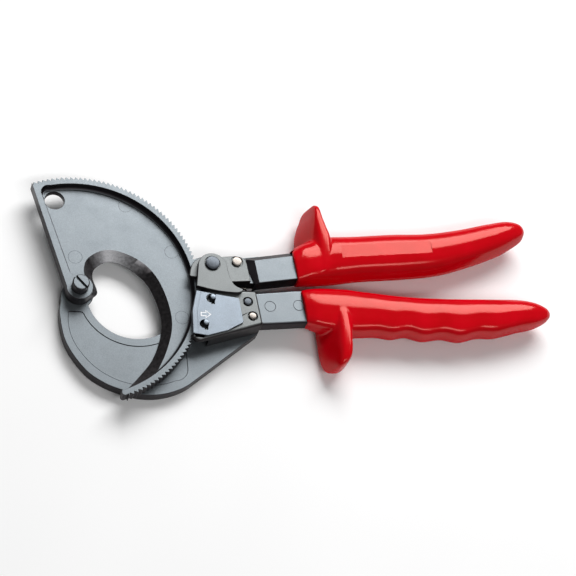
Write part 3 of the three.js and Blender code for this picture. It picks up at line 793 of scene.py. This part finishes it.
def keyhole(stud):
    """Cutters for a wide eye round a stud's head and a narrow slot beside it."""
    x, y = stud
    through = sinking(LID_TOP, SHEET_TOP, 0.12)
    eye = circle((x - 1, y - 0.7), 2.45, 40)
    neck = [(x - 0.9, y - 4), (x + 1, y - 4), (x + 1, y), (x - 0.9, y)]
    return [stack(eye, through), stack(neck, through)]


def release_plate():
    """The sliding sheet, creased and lipped on its left, with two keyholes."""
    sheet = outline(
        (60.9, -0.6),
        ("line", (69.8, -1.9)),
        ("line", (82.6, -3.6)),
        ("arc", (83.5, -3.9), (83.8, -4.8)),
        ("line", (85.5, -17.2)),
        ("arc", (85.3, -17.8), (84.9, -18.1)),
        ("line", (77, -22.7)),
        ("line", (66.8, -26)),
        ("arc", (66, -26.2), (65, -26.1)),
        ("line", (58.4, -25.3)),
        ("line", (58.4, -12)),
    )
    lip = outline(
        (60.9, -0.6),
        ("line", (58.4, -12)),
        ("line", (58.4, -25.3)),
        ("line", (59.2, -25.3)),
        ("line", (59.2, -12)),
        ("line", (61.7, -0.8)),
    )
    body = slab(sheet, SHEET_LOW, SHEET_TOP, 0.1, 0.2)
    body = join(body, [slab(lip, levels("release_plate")[0], SHEET_TOP - 0.2, 0.1, 0.15)])
    # one crooked line beside the lip
    crease = [(60.6, -24.9), (60.6, -12), (62.9, -1.6), (63.3, -1.6), (61, -12), (61, -24.9)]
    cuts = [stack(crease, sinking(SHEET_TOP - 0.15, SHEET_TOP, 0.08))]
    for stud in STUDS:
        cuts += keyhole(stud)
    x, y = STUDS[0]
    notch = [(x - 1.9, y + 0.9), (x + 1.6, y + 0.9), (x + 1.6, y + 1.9), (x - 1.9, y + 1.9)]
    cuts.append(stack(notch, sinking(LID_TOP, SHEET_TOP, 0.1)))
    body = combine(body, cuts)
    place_piece(body, "release_sheet", "release", ["release_plate"], [BLUED_SHEET])


def arrow_mark():
    """The outlined arrow painted on the sheet, which points the way it slides."""
    arrow = [
        (62.6, -15.4), (65.2, -15.4), (65.2, -16.7), (68.4, -14.2), (65.2, -11.7), (65.2, -13), (62.6, -13),
    ]
    line_width = 0.55
    mark = stack(arrow, [(SHEET_TOP - 0.05, 0), (SHEET_TOP + 0.03, 0.02)])
    hollow = stack(arrow, [(SHEET_TOP - PAST, line_width), (SHEET_TOP + PAST, line_width)])
    mark = combine(mark, [hollow])
    place_piece(mark, "arrow_mark", "release", [], [PAINT])


# ------------------------------------------------------------------ handles


def ribbon(stations, spacing=1.5):
    """The outline of a strip along a smooth line of (x, y, half width)."""
    line = spline(stations, spacing)
    left, right = [], []
    for i, (x, y, half) in enumerate(line):
        before, after = line[max(0, i - 1)], line[min(len(line) - 1, i + 1)]
        way = Vector((after[0] - before[0], after[1] - before[1])).normalized()
        left.append((x - way.y * half, y + way.x * half))
        right.insert(0, (x + way.y * half, y - way.x * half))
    return left + right


def fixed_bar():
    """The fixed handle's shank, with its two rivets ground flush. Returns its outline."""
    low, top = levels("fixed_handle_bar")
    line = ribbon([(92.4, -7.4, 9.2), (97, -7, 9.4), (109, -5.6, 9.6), (120, -4.4, 9.6), (135, -4.8, 8.9)])
    body = slab(line, low, top, 0.6, 1.3)
    root = [(84.6, -14.4), (92.4, -16.2), (98, -16), (98, 1.6), (91, 1.2), (91, -1.6), (84.6, -1.6)]
    body = join(body, [slab(root, low, top - 1.4, 0.4, 0.4)])
    rivet_edge = 2.95
    body = combine(body, [
        scribed_circle(place, rivet_edge, width=0.05, depth=0.3, flare=0.17, top=top) for place in TANG_RIVETS
    ])
    place_piece(body, "fixed_shank", "frame", ["fixed_handle_bar", "tang_rivet_inner", "tang_rivet_outer"],
                [BLADE_STEEL])
    return line


def ramp_cutter(foot_level, top):
    """Cuts a bar's end down to its tongue, with a slope up to the bar's full height."""
    turn = math.radians(9)
    away = Vector((math.cos(turn), math.sin(turn)))
    foot, head = Vector((90.4, 14.5)), Vector((94.6, 15.2))
    across = Vector((-away.y, away.x)) * 20
    back = away * -16
    ring_low = [foot + back - across, foot - across, foot + across, foot + back + across]
    ring_high = [head + back - across, head - across, head + across, head + back + across]
    rings = [(ring_low, foot_level), (ring_high, top), (ring_high, top + 2 * PAST)]
    return tube([[(p.x, p.y, level) for p in ring] for ring, level in rings])


def chamfer_cutter(top):
    """Cuts a wide chamfer along the moving bar's upper edge."""
    foot_level, reach = top - 3.8, 3.6
    upper_edge = [Vector((x, y)) for x, y in ((80, 21.3), (94.2, 23.9), (117, 28.3), (136, 31.4))]
    rings = []
    for level, inward in ((foot_level, 0), (top, reach), (top + PAST, reach + PAST)):
        near = [(p.x, p.y - inward, level) for p in upper_edge]
        far = [(p.x, p.y + 6, level) for p in reversed(upper_edge)]
        rings.append(near + far)
    return tube(rings)


def moving_bar():
    """The moving handle's shank, with a ramp down to a thin tongue. Returns its outline."""
    low, top = levels("moving_handle_bar")
    line = ribbon([(90.5, 14.3, 8.45), (94.2, 15.2, 8.5), (117, 19.4, 8.6), (135, 22.8, 8.2)])
    body = slab(line, low, top, 0.5, 0.7)
    tongue_top = levels("handle_eye_plate")[0] - 0.35
    tongue = [(77, 21.6), (77, 16), (83.2, 13), (83.2, 7.4), (96, 7.6), (97, 24.6), (87, 22.9)]
    body = join(body, [slab(tongue, low, tongue_top, 0.3, 0.3)])
    body = combine(body, [ramp_cutter(tongue_top, top)])
    body = combine(body, [chamfer_cutter(top)])
    place_piece(body, "moving_shank", "moving_handle", ["moving_handle_bar"],
                [BLADE_STEEL], sharp=18)
    return line


def eye_plate():
    """The plate riveted on the tongue, whose round end turns under the cheek."""
    low, top = levels("handle_eye_plate")
    shape = outline(
        (61.6, 8),
        ("arc", (70, 4.6), (78, 6)),
        ("line", (91, 7.3)),
        ("curve", (90, 13.4), (89, 18.6), (86.8, 21.2), (83, 21.9)),
        ("line", (72, 20.6)),
        ("curve", (66, 20.4), (62, 18.6), (59, 14.8), (57.7, 9)),
        ("line", (58.3, 8.2)),
    )
    body = slab(shape, low, top, 0.2, 0.5)
    body = combine(body, [stack(circle(spot("eye_plate_rivet"), 3.3, 48), sinking(top - 0.6, top, 0.2))])
    place_piece(body, "eye_link", "moving_handle", ["handle_eye_plate"], [HOUSING_STEEL])


def lozenge(ribs, middle, power, lean=0.0, shoulder=0.0, spacing=0.9, sides=64):
    """A plump solid through ribs of (x, y at one side, x, y at the other, half thickness).

    The section is a superellipse. Its front, on the first side, is drawn in by the lean as a
    slanting face. A shoulder gives it a slanting wall with a firm edge instead, which grows
    over the first ribs, and a top that falls a little towards that edge.
    """
    firm, fall, growth = 5, 0.16, 6
    line = spline(ribs, spacing)
    rings = []
    for row, (ax, ay, bx, by, thick) in enumerate(line):
        wall = shoulder * min(1, growth * row / len(line))
        ring = []
        for i in range(sides):
            t = 2 * math.pi * i / sides
            front = math.cos(t) < 0 < math.sin(t)
            square = firm if shoulder and front else power
            across = math.copysign(abs(math.cos(t)) ** (2 / square), math.cos(t))
            up = math.copysign(abs(math.sin(t)) ** (2 / square), math.sin(t))
            if shoulder and front:
                up *= 1 + fall * across
                across *= 1 - wall * up
            share = (1 + across) / 2
            share += lean * (1 - share) * (1 + up) / 2
            ring.append((ax + (bx - ax) * share, ay + (by - ay) * share, middle + thick * up))
        rings.append(ring)
    return tube(rings)


def melt(thing, size, rounds):
    """Fuses overlapping solids into one skin, as a dip does, and lets it flow smooth."""
    fuse = thing.modifiers.new("fuse", "REMESH")
    fuse.mode = "VOXEL"
    fuse.voxel_size = size
    flow = thing.modifiers.new("flow", "SMOOTH")
    flow.factor = 0.5
    flow.iterations = rounds
    bpy.context.view_layer.update()
    whole = bpy.data.meshes.new_from_object(thing.evaluated_get(bpy.context.evaluated_depsgraph_get()))
    thing.modifiers.clear()
    thing.data = whole
    return thing


def merge_shells(things):
    """Puts several solids in one mesh without joining their surfaces."""
    shape = bmesh.new()
    for thing in things:
        shape.from_mesh(thing.data)
    shape.to_mesh(things[0].data)
    shape.free()
    for thing in things[1:]:
        bpy.data.objects.remove(thing)
    return things[0]


def grip(node, name, body_name, ribs, guard_ribs, shoulder, bar_line, bar_levels, panel=None):
    """A dipped grip fused with its finger guard, with a socket for its shank."""
    low, top = levels(node)
    middle, half = (low + top) / 2, (top - low) / 2
    full = [(*rib[:4], rib[4] * half) for rib in ribs]
    fin = [(*rib[:4], rib[4] * half) for rib in guard_ribs]
    body = merge_shells([
        lozenge(full, middle, power=2.5, shoulder=shoulder),
        lozenge(fin, middle, power=5, lean=0.62),
    ])
    body = melt(body, size=0.6, rounds=7)
    if panel:
        body = combine(body, [stack(panel, [(top - LABEL_DEPTH, 0), (top + 2 * PAST, 0)])])
    room = 0.25
    socket = stack(bar_line, [(bar_levels[0] - room, -room), (bar_levels[1] + room, -room)])
    body = combine(body, [socket])
    place_piece(body, name, body_name, [node], [RED_DIP], sharp=50)


# ribs run from the lower to the upper edge of each grip; a guard's run along its own flange
MOVING_RIBS = [
    (117.2, 8.9, 114.4, 28.2, 0.79), (120.2, 9.3, 117, 30.4, 0.89), (123.4, 9.7, 120, 32.4, 0.98),
    (128, 10.1, 124, 34.4, 1), (138, 11.3, 133.4, 37.9, 1), (154.7, 14.3, 150.3, 39.6, 1),
    (177.9, 17.1, 171.8, 42.3, 1), (198.5, 20.6, 192, 44.1, 1), (216.7, 26.7, 210.8, 47.7, 1),
    (235.4, 34.8, 229, 52.6, 0.98), (245.4, 40.9, 240.8, 55.2, 0.88), (250.6, 45, 248.7, 54.6, 0.62),
    (252.4, 48.4, 252, 51.8, 0.28),
]
MOVING_GUARD = [
    (124, 14, 134, 16, 0.86), (120, 20, 136, 23, 1), (118, 27, 136.6, 30, 1.07),
    (117.6, 33, 136.4, 36, 1.09), (118, 40, 134.8, 41, 1.08), (120, 46.5, 133, 46.5, 1.06),
    (122, 51, 132, 50.6, 1.02), (123.4, 54.4, 131.2, 54.2, 0.88), (125.2, 56.4, 130, 56.2, 0.6),
]
FIXED_RIBS = [
    (121.4, -14.6, 118.6, 5.8, 0.79), (124, -15.5, 121.4, 6.3, 0.89), (127, -16.4, 124.6, 6.8, 0.98),
    (132, -17.7, 131, 7.5, 1), (145, -19.2, 144, 7.7, 1), (152.5, -18.8, 152.1, 7, 1),
    (161, -18.2, 160.5, 6.4, 1), (169.5, -19, 168, 5.8, 1), (178, -17.4, 178, 5.3, 1),
    (187, -19.3, 187, 5.2, 1), (198.1, -17.5, 197.6, 5.3, 1), (208, -18.7, 207.6, 5.7, 1),
    (219, -15.7, 218.5, 6.2, 1), (229, -15.1, 229, 6.7, 1), (242.4, -11, 243.5, 7.1, 0.98),
    (252, -8.4, 252.6, 6.1, 0.88), (259, -5, 259.4, 3.8, 0.6), (262.2, -2, 262.4, 1.6, 0.26),
]
FIXED_GUARD = [
    (130, 1, 141, 0, 0.9), (127, -6, 144, -8, 1.02), (127, -15, 145.2, -17, 1.07),
    (127.6, -23, 145.2, -24, 1.08), (128.4, -29.5, 144.9, -29.5, 1.06), (129.4, -33.6, 144.2, -33.2, 1.02),
    (130.8, -36.6, 142.4, -36.2, 0.92), (132.6, -38.4, 140.2, -38, 0.76), (134.6, -39.5, 138, -39.3, 0.46),
]
LABEL_DEPTH = 0.36
LABEL_PANEL = [(142.5, 19), (194.5, 24), (193, 41), (141, 36)]

# ------------------------------------------------------------------ the whole tool

fixed_blade()
moving_blade()
pivot_bolt()
housing_cover()
rivets()
release_plate()
arrow_mark()
eye_plate()
fixed_line = fixed_bar()
moving_line = moving_bar()
grip("moving_handle_grip", "upper_grip", "moving_handle", MOVING_RIBS, MOVING_GUARD, shoulder=0.4,
     bar_line=moving_line, bar_levels=levels("moving_handle_bar"), panel=LABEL_PANEL)
grip("fixed_handle_grip", "lower_grip", "frame", FIXED_RIBS, FIXED_GUARD, shoulder=0.15,
     bar_line=fixed_line, bar_levels=levels("fixed_handle_bar"))

for node, finish in (
    ("drive_pawl", BLADE_STEEL), ("drive_pawl_pin", BLADE_STEEL),
    ("holding_pawl", BLADE_STEEL), ("holding_pawl_pin", BLADE_STEEL),
    ("drive_pawl_spring", BRIGHT_STEEL), ("holding_pawl_spring", BRIGHT_STEEL),
    ("handle_return_spring", BRIGHT_STEEL),
):
    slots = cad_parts[node].data.materials
    slots.clear()
    slots.append(finish)

# ------------------------------------------------------------------ floor, light and camera


def floor():
    """A plain pale floor just under the tool."""
    recipe = Recipe("pale_floor")
    cloud = recipe.noise(6, 2.0)
    tone = recipe.ramp(cloud, [(0.3, (0.93, 0.93, 0.93)), (0.7, (0.96, 0.96, 0.96))])
    recipe.link(tone, recipe.shader.inputs["Base Color"])
    recipe.set(Roughness=0.9, Specular_IOR_Level=0.1)
    bpy.ops.mesh.primitive_plane_add(size=12, location=(0, 0, cad_box[0][2] - 0.0005))
    plane = bpy.context.object
    plane.name = "studio_floor"
    plane.data.materials.append(recipe.material)


def lamp(name, direction, distance, size, power):
    """A rectangular soft light that faces the tool from a direction."""
    data = bpy.data.lights.new(name, "AREA")
    data.shape = "RECTANGLE"
    data.size, data.size_y = size
    data.energy = power
    thing = bpy.data.objects.new(name, data)
    thing.location = Vector(direction).normalized() * distance
    thing.rotation_euler = (-Vector(direction)).to_track_quat("-Z", "Y").to_euler()
    bpy.context.collection.objects.link(thing)


def studio():
    """A faint white surround, one large soft light above and behind, and a strip in front."""
    world = bpy.data.worlds.new("studio")
    world.use_nodes = True
    background = world.node_tree.nodes["Background"]
    background.inputs["Color"].default_value = (1, 1, 1, 1)
    background.inputs["Strength"].default_value = 0.13
    bpy.context.scene.world = world
    lamp("overhead", (0.22, 0.66, 0.74), distance=1.5, size=(1.3, 0.8), power=27)
    lamp("front_box", (0.15, -0.52, 0.8), distance=1.5, size=(1.1, 0.28), power=6.5)
    bpy.context.scene.view_settings.view_transform = "Standard"


def camera():
    """The photograph's view: from the lower left of the tool, just under a metre away."""
    target = Vector((-0.00671, 0.00314, 0.0148))
    toward = Vector((-0.2391, -0.4313, 0.8699)).normalized()
    right = Vector((0.9694, -0.0551, 0.2391)).normalized()
    distance = 0.971
    data = bpy.data.cameras.new("camera")
    data.sensor_width = 36
    data.lens = 113.1
    thing = bpy.data.objects.new("camera", data)
    turn = Matrix((right, toward.cross(right), toward)).transposed().to_4x4()
    thing.matrix_world = Matrix.Translation(target + toward * distance) @ turn
    bpy.context.collection.objects.link(thing)
    bpy.context.scene.camera = thing


floor()
studio()
camera()
